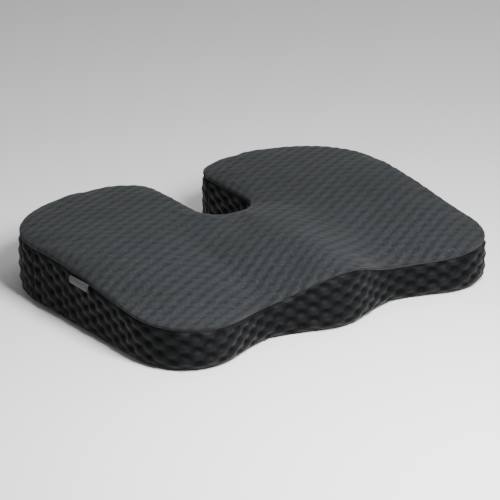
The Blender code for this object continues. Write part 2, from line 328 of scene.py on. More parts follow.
def arc(middle, radii, start, turn, steps):
    angles = [start + turn * step / steps for step in range(steps + 1)]
    return [(middle[0] + radii[0] * math.cos(a), middle[1] + radii[1] * math.sin(a)) for a in angles]


def takeShape(bm):
    # Points and faces of a working mesh, which is then freed
    bm.verts.index_update()
    points = np.array([v.co for v in bm.verts])
    faces = [[v.index for v in face.verts] for face in bm.faces]
    bm.free()
    return points, faces


def noiseAt(points, size, seed):
    # Smooth noise from -1 to 1 at points, with features of about that size
    shift = Vector((seed * 7.31, seed * 3.17, seed * 5.71))
    return np.array([noise.noise(Vector(p) / size + shift) for p in points])


# puffed cover, by cloth simulation

puff = {
    "spacing": 0.0075,
    "netSpacing": 0.009,
    "baseSpacing": 0.030,
    "baseInset": 0.0090,
    "baseHeight": 0.0004,
    "footRings": ((0.0008, 1.0), (0.0030, 0.0), (0.0070, 0.0)),      # height and pin
    "rollEdges": (0.0004, 0.003, 0.008, 0.014, 0.020, 0.026),
    "frames": 20,
    "cap": 0.0050,
    "topShare": 0.42,         # how much of the swell the seat surface keeps
    "sideShare": 0.6,
    "mostIn": 0.0004,
    "cloth": {
        "quality": 5,
        "mass": 0.25,
        "tension_stiffness": 12,
        "compression_stiffness": 12,
        "shear_stiffness": 5,
        "bending_stiffness": 0.8,
        "uniform_pressure_force": 4.0,
        "shrink_min": -0.03,      # a little slack
    },
}


def coarseCover():
    # A closed skin of the whole cover, pinned at its seams and base
    look = puff
    count = int(perimeter / look["spacing"])
    outline, normals = outlineAt(np.arange(count) * perimeter / count)
    seam = seamHeight(outline[:, 0], outline[:, 1])
    rings, pins = [], []

    def addRing(inset, z, pin):
        rings.append(atHeight(outline - normals * np.reshape(inset, (-1, 1)), z))
        pins.append(np.full(count, pin))

    addRing(look["baseInset"], look["baseHeight"], 1.0)
    for z, pin in look["footRings"]:
        addRing(footInset(z), z, pin)
    for share in (0.0, 0.2, 0.4, 0.6, 0.8):
        addRing(0.0, mix(contour["footHeight"], seam - 0.001, share), 0.0)
    addRing(0.0010, seam, 1.0)
    for edge in look["rollEdges"]:
        rings.append(surfaceRing(outline, normals, edge))
        pins.append(np.zeros(count))
    netPoints, away, topFaces = planNet(rings[-1][:, :2], look["rollEdges"][-1], look["netSpacing"])
    height = surfaceHeight(netPoints[:, 0], netPoints[:, 1], away)
    basePoints, _, baseFaces = planNet(rings[0][:, :2], look["baseInset"], look["baseSpacing"])
    base = len(rings) * count
    top = np.column_stack([netPoints, height])
    points = np.concatenate(rings + [top, atHeight(basePoints, look["baseHeight"])])
    faces = ringFaces(count, len(rings))
    faces += netOver(topFaces, count, base - count, base)
    faces += netOver(baseFaces, count, 0, base + len(netPoints))
    pin = np.concatenate(pins + [np.zeros(len(netPoints)), np.ones(len(basePoints))])
    return makeObject("coverSkin", points, faces), pin


def simulateCover():
    # Rest points, moved points and triangles of the inflated cover
    skin, pin = coarseCover()
    bm = bmesh.new()
    bm.from_mesh(skin.data)
    bmesh.ops.triangulate(bm, faces=bm.faces)
    bm.to_mesh(skin.data)
    bm.free()
    rest = np.array([v.co for v in skin.data.vertices])
    outward = np.array([v.normal for v in skin.data.vertices])
    triangles = [tuple(p.vertices) for p in skin.data.polygons]
    moved = rest.copy()
    group = skin.vertex_groups.new(name="seams")
    for index in np.nonzero(pin > 0)[0]:
        group.add([int(index)], float(pin[index]), "REPLACE")
    cloth = skin.modifiers.new("puff", "CLOTH")
    cloth.settings.vertex_group_mass = "seams"
    cloth.settings.use_pressure = True
    cloth.settings.effector_weights.gravity = 0
    for setting, value in puff["cloth"].items():
        setattr(cloth.settings, setting, value)
    cloth.collision_settings.use_collision = False
    scene = bpy.context.scene
    for step in range(1, puff["frames"] + 1):
        scene.frame_set(step)
    graph = bpy.context.evaluated_depsgraph_get()
    result = skin.evaluated_get(graph).to_mesh()
    moved = np.array([v.co for v in result.vertices])
    skin.evaluated_get(graph).to_mesh_clear()
    scene.frame_set(1)
    bpy.data.objects.remove(skin)
    shift = moved - rest
    out = (shift * outward).sum(1)
    shift += outward * (np.maximum(out, -puff["mostIn"]) - out)[:, None]
    shift *= mix(puff["sideShare"], puff["topShare"], np.abs(outward[:, 2]))[:, None]
    size = np.linalg.norm(shift, axis=1)[:, None]
    capped = puff["cap"] * np.tanh(size / puff["cap"])
    shift = shift * np.where(size > 1e-9, capped / np.maximum(size, 1e-9), 1)
    print("cover puffed by up to", round(float(size.max()) * 1000, 1), "mm before the cap")
    return rest, shift, triangles


skinRest, skinShift, skinTriangles = simulateCover()
skinTree = BVHTree.FromPolygons([Vector(p) for p in skinRest], skinTriangles)


def puffShift(points):
    # How the inflated cover moves each point
    if not np.any(skinShift):
        return np.zeros((len(points), 3))
    found = [skinTree.find_nearest(Vector(p)) for p in points]
    place = np.array([f[0] for f in found])
    corners = np.array([skinTriangles[f[2]] for f in found])
    a, b, c = (skinRest[corners[:, k]] for k in range(3))
    area = np.cross(b - a, c - a)
    total = np.maximum((area * area).sum(1), 1e-18)
    weightA = (np.cross(b - place, c - place) * area).sum(1) / total
    weightB = (np.cross(c - place, a - place) * area).sum(1) / total
    weights = np.clip(np.stack([weightA, weightB, 1 - weightA - weightB], 1), 0, 1)
    weights /= weights.sum(1, keepdims=True)
    return (skinShift[corners] * weights[:, :, None]).sum(1)


# shader groups shared by the fabrics


def newGroup(name, inputs, outputs):
    group = bpy.data.node_groups.new(name, "ShaderNodeTree")
    for label, kind, default in inputs:
        made = group.interface.new_socket(name=label, in_out="INPUT", socket_type=kind)
        if default is not None:
            made.default_value = default
    for label, kind in outputs:
        group.interface.new_socket(name=label, in_out="OUTPUT", socket_type=kind)
    start = group.nodes.new("NodeGroupInput")
    end = group.nodes.new("NodeGroupOutput")
    return group, start, end


def addNode(tree, kind, links=(), **values):
    # A node with its settings, and links from sockets to its inputs by name or number
    node = tree.nodes.new(kind)
    for key, value in values.items():
        if hasattr(node, key) and key not in node.inputs:
            setattr(node, key, value)
        else:
            node.inputs[key].default_value = value
    for socket, target in links:
        tree.links.new(socket, node.inputs[target])
    return node


def mathNode(tree, operation, a, b=None, third=None, clamp=False):
    # Maths on sockets or plain numbers; the result socket
    node = tree.nodes.new("ShaderNodeMath")
    node.operation = operation
    node.use_clamp = clamp
    for number, value in enumerate((a, b, third)):
        if value is None:
            continue
        if isinstance(value, (int, float)):
            node.inputs[number].default_value = value
        else:
            tree.links.new(value, node.inputs[number])
    return node.outputs[0]


def remap(tree, socket, low, high, fromLow=0.0, fromHigh=1.0):
    # A value moved from one range to another, and held inside it
    limits = {"From Min": fromLow, "From Max": fromHigh, "To Min": low, "To Max": high}
    return addNode(tree, "ShaderNodeMapRange", [(socket, "Value")], **limits).outputs["Result"]


def addNoise(tree, vector, scale, detail):
    links = [(vector, "Vector")]
    if isinstance(scale, (int, float)):
        node = addNode(tree, "ShaderNodeTexNoise", links, Scale=scale, Detail=detail)
    else:
        node = addNode(tree, "ShaderNodeTexNoise", links + [(scale, "Scale")], Detail=detail)
    return node.outputs["Fac"]


def makeYarnGrain():
    # Tiny loops of yarn: a height and a shade that change over about a millimetre
    inputs = [
        ("Vector", "NodeSocketVector", None),
        ("Loop Size", "NodeSocketFloat", 0.0011),
        ("Fuzz", "NodeSocketFloat", 0.4),
    ]
    outputs = [("Height", "NodeSocketFloat"), ("Shade", "NodeSocketFloat")]
    tree, start, end = newGroup("yarnGrain", inputs, outputs)
    vector = start.outputs["Vector"]
    scale = mathNode(tree, "DIVIDE", 1.0, start.outputs["Loop Size"])
    cells = addNode(tree, "ShaderNodeTexVoronoi", [(vector, "Vector"), (scale, "Scale")], feature="F1")
    fuzz = addNoise(tree, vector, mathNode(tree, "MULTIPLY", scale, 2.7), 2.0)
    dome = mathNode(tree, "SUBTRACT", 1.0, cells.outputs["Distance"], clamp=True)
    height = mathNode(tree, "ADD", dome, mathNode(tree, "MULTIPLY", fuzz, start.outputs["Fuzz"]))
    tree.links.new(height, end.inputs["Height"])
    tree.links.new(remap(tree, height, 0.72, 1.18, 0.35, 1.15), end.inputs["Shade"])
    return tree


def makeLumpLattice():
    # Two crossing waves in cloth coordinates: 0 in a pit, 1 on a lump
    # A wave is turns per metre across, turns per metre up, and turns to start with
    inputs = [
        ("Vector", "NodeSocketVector", None),
        ("Wave A", "NodeSocketVector", (40, 75, 0)),
        ("Wave B", "NodeSocketVector", (40, -75, 0)),
        ("Balance", "NodeSocketFloat", 0.5),
    ]
    tree, start, end = newGroup("lumpLattice", inputs, [("Lump", "NodeSocketFloat")])
    lifted = addNode(tree, "ShaderNodeVectorMath", [(start.outputs["Vector"], 0)], operation="ADD")
    lifted.inputs[1].default_value = (0, 0, 1)
    waves = []
    for name in ("Wave A", "Wave B"):
        links = [(lifted.outputs[0], 0), (start.outputs[name], 1)]
        turns = addNode(tree, "ShaderNodeVectorMath", links, operation="DOT_PRODUCT").outputs["Value"]
        waves.append(mathNode(tree, "COSINE", mathNode(tree, "MULTIPLY", turns, 2 * math.pi)))
    share = start.outputs["Balance"]
    strong = mathNode(tree, "MULTIPLY", waves[0], share)
    weak = mathNode(tree, "MULTIPLY", waves[1], mathNode(tree, "SUBTRACT", 1.0, share))
    both = mathNode(tree, "ADD", strong, weak)
    tree.links.new(mathNode(tree, "MULTIPLY_ADD", both, 0.5, third=0.5), end.inputs["Lump"])
    return tree


def makeFabricWear():
    # Faint unevenness of dye, and dust that settles where the cloth faces up
    inputs = [
        ("Vector", "NodeSocketVector", None),
        ("Dust", "NodeSocketFloat", 0.15),
        ("Patch Size", "NodeSocketFloat", 0.06),
    ]
    outputs = [("Dust", "NodeSocketFloat"), ("Tint", "NodeSocketFloat")]
    tree, start, end = newGroup("fabricWear", inputs, outputs)
    vector = start.outputs["Vector"]
    patches = addNoise(tree, vector, mathNode(tree, "DIVIDE", 1.0, start.outputs["Patch Size"]), 3.0)
    tree.links.new(remap(tree, patches, 0.90, 1.10, 0.3, 0.7), end.inputs["Tint"])
    facing = addNode(tree, "ShaderNodeNewGeometry")
    upward = addNode(tree, "ShaderNodeSeparateXYZ", [(facing.outputs["Normal"], "Vector")])
    settled = mathNode(tree, "MULTIPLY", upward.outputs["Z"], start.outputs["Dust"], clamp=True)
    flecks = remap(tree, addNoise(tree, vector, 420.0, 4.0), 0.0, 1.0, 0.52, 0.80)
    tree.links.new(mathNode(tree, "MULTIPLY", settled, flecks, clamp=True), end.inputs["Dust"])
    return tree


def makePlainWeave():
    # Over-and-under threads in cloth coordinates
    inputs = [("Vector", "NodeSocketVector", None), ("Thread", "NodeSocketFloat", 0.0006)]
    tree, start, end = newGroup("plainWeave", inputs, [("Height", "NodeSocketFloat")])
    split = addNode(tree, "ShaderNodeSeparateXYZ", [(start.outputs["Vector"], "Vector")])
    waves = []
    for axis in ("X", "Y"):
        turns = mathNode(tree, "DIVIDE", split.outputs[axis], start.outputs["Thread"])
        waves.append(mathNode(tree, "SINE", mathNode(tree, "MULTIPLY", turns, math.pi)))
    product = mathNode(tree, "MULTIPLY", waves[0], waves[1])
    tree.links.new(mathNode(tree, "ADD", mathNode(tree, "MULTIPLY", product, 0.5), 0.5), end.inputs["Height"])
    return tree


yarnGrain = makeYarnGrain()
lumpLattice = makeLumpLattice()
fabricWear = makeFabricWear()
plainWeave = makePlainWeave()


def useGroup(tree, group, vector, **values):
    node = tree.nodes.new("ShaderNodeGroup")
    node.node_tree = group
    tree.links.new(vector, node.inputs["Vector"])
    for name, value in values.items():
        node.inputs[name.replace("_", " ")].default_value = value
    return node


def newMaterial(name, roughness, sheen=0.0, metallic=0.0):
    material = bpy.data.materials.new(name)
    material.use_nodes = True
    tree = material.node_tree
    shader = tree.nodes["Principled BSDF"]
    shader.inputs["Roughness"].default_value = roughness
    shader.inputs["Metallic"].default_value = metallic
    shader.inputs["Sheen Weight"].default_value = sheen
    shader.inputs["Sheen Roughness"].default_value = 0.5
    shader.inputs["Specular IOR Level"].default_value = 0.5 if metallic else 0.22
    return material, tree, shader


def shadeColour(tree, colour, *factors):
    # A colour multiplied by shade sockets
    socket = addNode(tree, "ShaderNodeRGB").outputs[0]
    socket.default_value = (*colour, 1)
    for factor in factors:
        scaled = addNode(tree, "ShaderNodeVectorMath", [(socket, 0), (factor, "Scale")], operation="SCALE")
        socket = scaled.outputs[0]
    return socket


def setColour(tree, shader, look, wear, *shades):
    # The dye under its shades, with dust over it
    dust = tree.nodes.new("ShaderNodeMix")
    dust.data_type = "RGBA"
    tree.links.new(wear.outputs["Dust"], dust.inputs["Factor"])
    tree.links.new(shadeColour(tree, look["colour"], *shades, wear.outputs["Tint"]), dust.inputs["A"])
    dust.inputs["B"].default_value = (*look["dustColour"], 1)
    tree.links.new(dust.outputs["Result"], shader.inputs["Base Color"])


def addBump(tree, shader, height, depth):
    bump = addNode(tree, "ShaderNodeBump", [(height, "Height")], Strength=1.0, Distance=depth)
    tree.links.new(bump.outputs["Normal"], shader.inputs["Normal"])


def knitMaterial(name, look):
    # Lumpy knit: painted highlight on the lumps and painted shade in the pits, lumps a little smoother than
    # the pits, yarn grain over both
    material, tree, shader = newMaterial(name, look["roughness"], look["sheen"])
    shader.inputs["Sheen Tint"].default_value = (*look["sheenTint"], 1)
    shader.inputs["Specular IOR Level"].default_value = look["specular"]
    cloth = addNode(tree, "ShaderNodeUVMap", uv_map="cloth").outputs["UV"]
    place = addNode(tree, "ShaderNodeTexCoord").outputs["Object"]
    waves = {"Wave_A": look["weave"]["waveA"], "Wave_B": look["weave"]["waveB"]}
    lumps = useGroup(tree, lumpLattice, cloth, Balance=look["weave"]["balance"], **waves).outputs["Lump"]
    grain = useGroup(tree, yarnGrain, place, Loop_Size=look["loop"], Fuzz=0.4)
    wear = useGroup(tree, fabricWear, place, Dust=look["dust"])
    # painted shade in the pits and painted highlight on the lumps, following the lump lattice
    paintedLumpLight = remap(tree, lumps, look["paintedPitShade"], look["paintedLumpLight"], look["pitFrom"], look["pitTo"])
    setColour(tree, shader, look, wear, paintedLumpLight, grain.outputs["Shade"])
    rough = remap(tree, lumps, min(look["roughness"] + 0.1, 1.0), look["roughness"] - 0.08)
    tree.links.new(rough, shader.inputs["Roughness"])
    addBump(tree, shader, grain.outputs["Height"], look["grainDepth"])
    return material


def weaveMaterial(name, look):
    # Plain woven or smooth-knit cloth
    material, tree, shader = newMaterial(name, look["roughness"], look["sheen"])
    cloth = addNode(tree, "ShaderNodeUVMap", uv_map="cloth").outputs["UV"]
    place = addNode(tree, "ShaderNodeTexCoord").outputs["Object"]
    weave = useGroup(tree, plainWeave, cloth, Thread=look["thread"])
    wear = useGroup(tree, fabricWear, place, Dust=look["dust"])
    setColour(tree, shader, look, wear, remap(tree, weave.outputs["Height"], 0.72, 1.15))
    addBump(tree, shader, weave.outputs["Height"], look["depth"])
    return material


def hardMaterial(name, look):
    # Painted metal, nylon or rubber with fine wear in its gloss
    material, tree, shader = newMaterial(name, look["roughness"], 0.0, look["metallic"])
    place = addNode(tree, "ShaderNodeTexCoord").outputs["Object"]
    wear = useGroup(tree, fabricWear, place, Dust=look["dust"], Patch_Size=look["patch"])
    setColour(tree, shader, look, wear)
    scratches = addNoise(tree, place, look["scratchScale"], 4.0)
    rough = remap(tree, scratches, look["roughness"] - 0.08, look["roughness"] + 0.14, 0.3, 0.7)
    tree.links.new(rough, shader.inputs["Roughness"])
    addBump(tree, shader, scratches, look["depth"])
    return material


def foamMaterial(name, look):
    # Open-cell foam: small pores, a little darker at their middles
    material, tree, shader = newMaterial(name, look["roughness"])
    place = addNode(tree, "ShaderNodeTexCoord").outputs["Object"]
    cells = addNode(tree, "ShaderNodeTexVoronoi", [(place, "Vector")], Scale=look["poreScale"])
    pores = cells.outputs["Distance"]
    wear = useGroup(tree, fabricWear, place, Dust=0.0)
    colour = shadeColour(tree, look["colour"], remap(tree, pores, 0.82, 1.05), wear.outputs["Tint"])
    tree.links.new(colour, shader.inputs["Base Color"])
    addBump(tree, shader, pores, look["depth"])
    return material


# the lumps of each knit: two crossing waves, and how much of the relief is the first
topWeave = {"waveA": (-38.5, 78.1, 0.0), "waveB": (38.5, 78.1, 0.0), "balance": 0.72}
bandWeave = {"waveA": (42.5, 74.0, -0.22), "waveB": (36.0, -66.5, 0.07), "balance": 0.52}


def lumpHeight(across, up, weave):
    # The same lumps as the shader's lattice: 0 in a pit, 1 on a lump
    strong, weak = (
        np.cos(2 * math.pi * (across * turnsAcross + up * turnsUp + begin))
        for turnsAcross, turnsUp, begin in (weave["waveA"], weave["waveB"])
    )
    return 0.5 + 0.5 * mix(weak, strong, weave["balance"])


# the pit and lump factors: painted shade in the knit's pits and painted highlight on its lumps
topKnit = knitMaterial("topKnit", {
    "colour": (0.0112, 0.0131, 0.0146), "roughness": 0.86, "specular": 0.20,
    "sheen": 0.04, "sheenTint": (0.80, 0.84, 0.86), "weave": topWeave, "loop": 0.0012,
    "dust": 0.10, "dustColour": (0.22, 0.23, 0.23),
    "paintedPitShade": 0.58, "paintedLumpLight": 1.22, "pitFrom": 0.02, "pitTo": 0.78, "grainDepth": 0.00030,
})
# the pit and lump factors: painted shade in the knit's pits and painted highlight on its lumps
bubbleKnit = knitMaterial("bubbleKnit", {
    "colour": (0.0026, 0.0029, 0.0034), "roughness": 0.52, "specular": 0.07,
    "sheen": 0.01, "sheenTint": (0.8, 0.85, 0.9), "weave": bandWeave, "loop": 0.0010,
    "dust": 0.02, "dustColour": (0.08, 0.08, 0.08),
    "paintedPitShade": 0.10, "paintedLumpLight": 1.80, "pitFrom": 0.18, "pitTo": 0.85, "grainDepth": 0.00022,
})
weltCloth = weaveMaterial("weltCloth", {
    "colour": (0.013, 0.014, 0.015), "roughness": 0.66, "sheen": 0.06, "thread": 0.0007,
    "dust": 0.10, "dustColour": (0.25, 0.25, 0.25), "depth": 0.00012,
})
gripCloth = weaveMaterial("gripCloth", {
    "colour": (0.020, 0.020, 0.022), "roughness": 0.82, "sheen": 0.05, "thread": 0.0008,
    "dust": 0.06, "dustColour": (0.12, 0.12, 0.12), "depth": 0.00010,
})
linerJersey = weaveMaterial("linerJersey", {
    "colour": (0.60, 0.60, 0.59), "roughness": 0.90, "sheen": 0.10, "thread": 0.0009,
    "dust": 0.0, "dustColour": (0.5, 0.5, 0.5), "depth": 0.00015,
})
tapeWeave = weaveMaterial("tapeWeave", {
    "colour": (0.016, 0.016, 0.018), "roughness": 0.78, "sheen": 0.05, "thread": 0.0005,
    "dust": 0.05, "dustColour": (0.12, 0.12, 0.12), "depth": 0.00010,
})
labelSatin = weaveMaterial("labelSatin", {
    "colour": (0.048, 0.048, 0.051), "roughness": 0.50, "sheen": 0.10, "thread": 0.0004,
    "dust": 0.05, "dustColour": (0.3, 0.3, 0.3), "depth": 0.00006,
})
threadBlack = hardMaterial("threadBlack", {
    "colour": (0.030, 0.030, 0.033), "roughness": 0.55, "metallic": 0.0, "dust": 0.05, "patch": 0.02,
    "dustColour": (0.12, 0.12, 0.12), "scratchScale": 2600.0, "depth": 0.00005,
})
gripRubber = hardMaterial("gripRubber", {
    "colour": (0.035, 0.035, 0.037), "roughness": 0.60, "metallic": 0.0, "dust": 0.05, "patch": 0.02,
    "dustColour": (0.15, 0.15, 0.15), "scratchScale": 900.0, "depth": 0.00003,
})
coilNylon = hardMaterial("coilNylon", {
    "colour": (0.022, 0.022, 0.024), "roughness": 0.34, "metallic": 0.0, "dust": 0.05, "patch": 0.01,
    "dustColour": (0.12, 0.12, 0.12), "scratchScale": 1800.0, "depth": 0.00002,
})
zipPaint = hardMaterial("zipPaint", {
    "colour": (0.060, 0.060, 0.064), "roughness": 0.34, "metallic": 0.7, "dust": 0.04, "patch": 0.008,
    "dustColour": (0.14, 0.14, 0.14), "scratchScale": 1500.0, "depth": 0.00002,
})
coreFoam = foamMaterial("coreFoam", {
    "colour": (0.66, 0.63, 0.54), "roughness": 0.92, "poreScale": 900.0, "depth": 0.0003,
})
print("materials made")

# zip frame

slideJoint = next(j for j in frame["joints"] if j["name"] == "zip_slide")
hingeJoint = next(j for j in frame["joints"] if j["name"] == "pull_hinge")
zipAlong = np.array(slideJoint["axis"][:2])
zipOut = np.array([zipAlong[1], -zipAlong[0]])
zipHeight = sum(corner.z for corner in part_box("zip_slider")) / 2
zipLength = float(np.linalg.norm(sideRear - sideFront))
hingePlace = np.array(hingeJoint["pos_m"][:2]) - sideFront
sliderMiddle = float(hingePlace @ zipAlong)
hingeOut = float(hingePlace @ zipOut)
slotHalf = (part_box("zip_band_upper")[0].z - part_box("zip_band_lower")[1].z) / 2
zipStart, zipEnd = knotLength[3], knotLength[4]


def zipPoints(local):
    # Points given as distance along the zip, out of the band's face and above its centre line
    local = np.atleast_2d(local)
    flat = sideFront + zipAlong * local[:, :1] + zipOut * local[:, 1:2]
    return np.column_stack([flat, zipHeight + local[:, 2]])


# top panel

topLook = {
    "spacing": 0.00135,
    "rim": ((0.0012, 0.0006), (0.0004, 0.0009), (0.0, 0.0018), (0.0, 0.0028)),   # in, and above the seam
    "rollEdges": (0.0004, 0.0010, 0.0018, 0.0028, 0.0040, 0.0053, 0.0066, 0.0080),
    "relief": 0.0009,
    "lumpPower": 0.8,
    "waviness": 0.0009,
    "waveSizes": (0.055, 0.021),
    "fineShare": 0.25,
    "thickness": 0.0018,
    "underIn": 0.0072,
    "underSpacing": 0.014,
}


def bumpOut(points, faces, amount):
    # Moves points along their surface normals by an amount each
    mesh = bpy.data.meshes.new("scratch")
    mesh.from_pydata([tuple(p) for p in points], [], faces)
    normals = np.zeros(len(points) * 3, np.float32)
    mesh.vertices.foreach_get("normal", normals)
    bpy.data.meshes.remove(mesh)
    normals = normals.reshape(-1, 3)
    return points + normals * amount[:, None]


def makeTopPanel():
    look = topLook
    count = int(perimeter / look["spacing"])
    outline, normals = outlineAt(np.arange(count) * perimeter / count)
    seam = seamHeight(outline[:, 0], outline[:, 1])
    rings = [atHeight(outline - normals * inset, seam + rise) for inset, rise in look["rim"]]
    rings += [surfaceRing(outline, normals, edge) for edge in look["rollEdges"]]
    netPoints, away, netFaces = planNet(rings[-1][:, :2], look["rollEdges"][-1], look["spacing"])
    height = surfaceHeight(netPoints[:, 0], netPoints[:, 1], away)
    upper = np.concatenate(rings + [np.column_stack([netPoints, height])])
    last = (len(rings) - 1) * count
    faces = ringFaces(count, len(rings)) + netOver(netFaces, count, last, last + count)
    upper = upper + puffShift(upper)
    broad, fine = look["waveSizes"]
    wave = noiseAt(upper * [1, 1, 0.3], broad, 1) * look["waviness"]
    wave += noiseAt(upper, fine, 2) * look["fineShare"] * look["waviness"]
    fade = [np.full(count, smoothStep(k / len(rings))) for k in range(len(rings))]
    fade = np.concatenate(fade + [np.ones(len(netPoints))])
    relief = lumpHeight(upper[:, 0], upper[:, 1], topWeave) ** look["lumpPower"] * look["relief"]
    test = bumpOut(upper, faces, np.ones(len(upper)))
    if (test - upper)[:, 2].mean() <= 0:
        faces = [tuple(reversed(face)) for face in faces]
    upper = bumpOut(upper, faces, (relief + wave) * fade)
    under = surfaceRing(outline, normals, look["underIn"], look["thickness"])
    lowNet, lowAway, lowFaces = planNet(under[:, :2], look["underIn"], look["underSpacing"])
    lowHeight = surfaceHeight(lowNet[:, 0], lowNet[:, 1], lowAway) - look["thickness"]
    base = len(upper)
    points = np.concatenate([upper, under, np.column_stack([lowNet, lowHeight])])
    faces += [(i, (i + 1) % count, base + (i + 1) % count, base + i) for i in range(count)]
    faces += shiftFaces(lowFaces, base)
    obj = makeObject("topPanel", points, faces)
    setUv(obj, points[:, :2])
    placePiece(obj, "root", topKnit, ["top_panel"])
    print("top panel", len(points), "points")


makeTopPanel()

# side bands

bandLook = {
    "spacing": 0.00125,
    "rows": 46,
    "relief": 0.0034,
    "lumpPower": 0.75,
    "lumpMiddle": 0.55,
    "waviness": 0.0013,
    "waveSizes": (0.045, 0.016),
    "fineShare": 0.3,
    "thickness": 0.0022,
    "edgeTuck": 0.0011,
    "edgeReach": 0.0022,
    "endReach": 0.0016,
    "endGap": 0.00003,
    "seamFade": 0.004,        # the relief comes up over this much cloth from a seam
    "footFade": (0.003, 0.006),
    "zipReach": 0.01,         # the swell goes and the relief drops this near the zip
    "zipFlatten": 0.55,
    "foot": 0.0008,
    "weltGap": 0.0011,
}


def makeBand(name, node, start, end, lowAt, highAt, rows):
    # A strip of the band from one running length to another, between two heights
    look = bandLook
    count = max(int((end - start) / look["spacing"]), 8)
    s = np.linspace(start + look["endGap"], end - look["endGap"], count)
    outline, normals = outlineAt(s)
    low, high = lowAt(outline), highAt(outline)

    def skin(shares, depth):
        rings = []
        for share in shares:
            z = mix(low, high, share)
            rings.append(atHeight(outline - normals * (footInset(z) + depth)[:, None], z))
        return np.concatenate(rings)

    flat = skin(np.linspace(0, 1, rows), 0.0)
    inner = skin((1.0, 0.5, 0.0), look["thickness"])
    running = np.tile(s, rows)
    z = flat[:, 2]
    fromTop = np.tile(high, rows) - z
    fromLow = z - np.tile(low, rows)
    fromEnd = np.minimum(running - start, end - running)
    near = np.exp(-(fromTop / look["edgeReach"]) ** 2) + np.exp(-(fromEnd / look["endReach"]) ** 2)
    if low.mean() > 0.002:                       # its lower edge is a seam too, not the foot
        near += np.exp(-(fromLow / look["edgeReach"]) ** 2)
    fade = smoothStep(fromTop / look["seamFade"]) * smoothStep(fromEnd / look["seamFade"])
    fade = fade * smoothStep((z - look["footFade"][0]) / look["footFade"][1])
    reach = look["zipReach"]
    zipNear = np.minimum(np.maximum(running - zipStart + reach, 0), np.maximum(zipEnd + reach - running, 0))
    quiet = smoothStep(zipNear / reach) * (1 - smoothStep((np.abs(z - zipHeight) - slotHalf) / reach))
    shift = puffShift(flat) * (1 - quiet)[:, None]
    broad, fine = look["waveSizes"]
    wave = noiseAt(np.column_stack([running, z * 0.5, z * 0]), broad, 3) * look["waviness"]
    wave += noiseAt(np.column_stack([running, z, z * 0]), fine, 4) * look["fineShare"] * look["waviness"]
    lumps = lumpHeight(running, z, bandWeave) ** look["lumpPower"] - look["lumpMiddle"]
    relief = lumps * look["relief"] * (1 - look["zipFlatten"] * quiet)
    amount = relief * fade + wave * fade * (1 - quiet) - near * look["edgeTuck"]
    flat = flat + shift + np.tile(atHeight(normals, 0.0), (rows, 1)) * amount[:, None]
    flat[:, 2] = np.maximum(flat[:, 2], look["foot"] * 0.6)
    total = rows + 3
    last = (total - 1) * count
    points = np.concatenate([flat, inner])
    faces = ringFaces(count, total, wrap=False)
    faces += [(i + last, i + 1 + last, i + 1, i) for i in range(count - 1)]
    faces.append([row * count for row in range(total)])
    faces.append([row * count + count - 1 for row in reversed(range(total))])
    obj = makeObject(name, points, faces)
    setUv(obj, np.column_stack([np.tile(s, total), points[:, 2]]))
    placePiece(obj, "root", bubbleKnit, [node])


def levelAt(z):
    return lambda outline: np.full(len(outline), z)


def seamAt(outline):
    return seamHeight(outline[:, 0], outline[:, 1]) - bandLook["weltGap"]


footAt = levelAt(bandLook["foot"])
slotLowAt = levelAt(zipHeight - slotHalf)
slotHighAt = levelAt(zipHeight + slotHalf)
mouthLength = knotLength[6]
rows = bandLook["rows"]
makeBand("frontBand", "front_band", zipEnd * -1, zipStart, footAt, seamAt, rows)
makeBand("zipBandLower", "zip_band_lower", zipStart, zipEnd, footAt, slotLowAt, rows // 2)
makeBand("zipBandUpper", "zip_band_upper", zipStart, zipEnd, slotHighAt, seamAt, rows // 2)
makeBand("rearBandRight", "rear_band_right", zipEnd, mouthLength, footAt, seamAt, rows)
makeBand("notchBand", "notch_band", mouthLength, perimeter - mouthLength, footAt, seamAt, rows)
makeBand("rearBandLeft", "rear_band_left", perimeter - mouthLength, perimeter - zipEnd, footAt, seamAt, rows)
print("bands made")

# welt in the top seam

weltLook = {
    "radius": 0.00095,
    "inset": 0.0013,
    "sides": 10,
    "spacing": 0.0014,
    "stitchPitch": 0.0042,
    "dimple": 0.12,
}


def makeWelt():
    look = weltLook
    count = int(perimeter / look["spacing"])
    s = np.arange(count) * perimeter / count
    outline, normals = outlineAt(s)
    z = seamHeight(outline[:, 0], outline[:, 1])
    stitches = (0.5 + 0.5 * np.cos(2 * math.pi * s / look["stitchPitch"])) ** 3
    radius = look["radius"] * (1 - look["dimple"] * stitches)
    rings, uv = [], []
    for side in range(look["sides"]):
        angle = 2 * math.pi * side / look["sides"]
        middle = outline - normals * (look["inset"] - radius * math.cos(angle))[:, None]
        rings.append(atHeight(middle, z + radius * math.sin(angle)))
        uv.append(atHeight(s, angle * look["radius"]))
    points = np.concatenate(rings)
    faces = [[c % len(points) for c in face] for face in ringFaces(count, look["sides"] + 1)]
    obj = makeObject("topWelt", points, faces)
    setUv(obj, np.concatenate(uv))
    placePiece(obj, "root", weltCloth, ["top_welt"])


makeWelt()

# base cloth with grip dots

baseLook = {
    "spacing": 0.004,
    "inset": 0.0089,
    "underside": 0.0006,
    "top": 0.0024,
    "lowEdge": ((0.0007, 0.0), (0.0001, 0.0005)),      # further in, and above the underside
    "highEdge": ((0.0, 0.0005), (0.0006, 0.0)),        # further in, and below the top
    "lowSpacing": 0.012,
    "highSpacing": 0.03,
    "sag": 0.00012,
    "sagSize": 0.03,
    "dotField": (0.234, 0.175),
    "dotPitch": 0.0085,
    "dotRadius": 0.0015,
    "dotLift": 0.0001,
    "edgeClear": 0.0060,
    "stitchPitch": 0.0046,
    "stitchLength": 0.0031,
    "stitchWidth": 0.00038,
    "stitchIn": 0.0086,
    "stitchLift": 0.00015,
    "stitchSlant": (0.55, 0.83, 0.10),                 # along the edge, outward and up
}


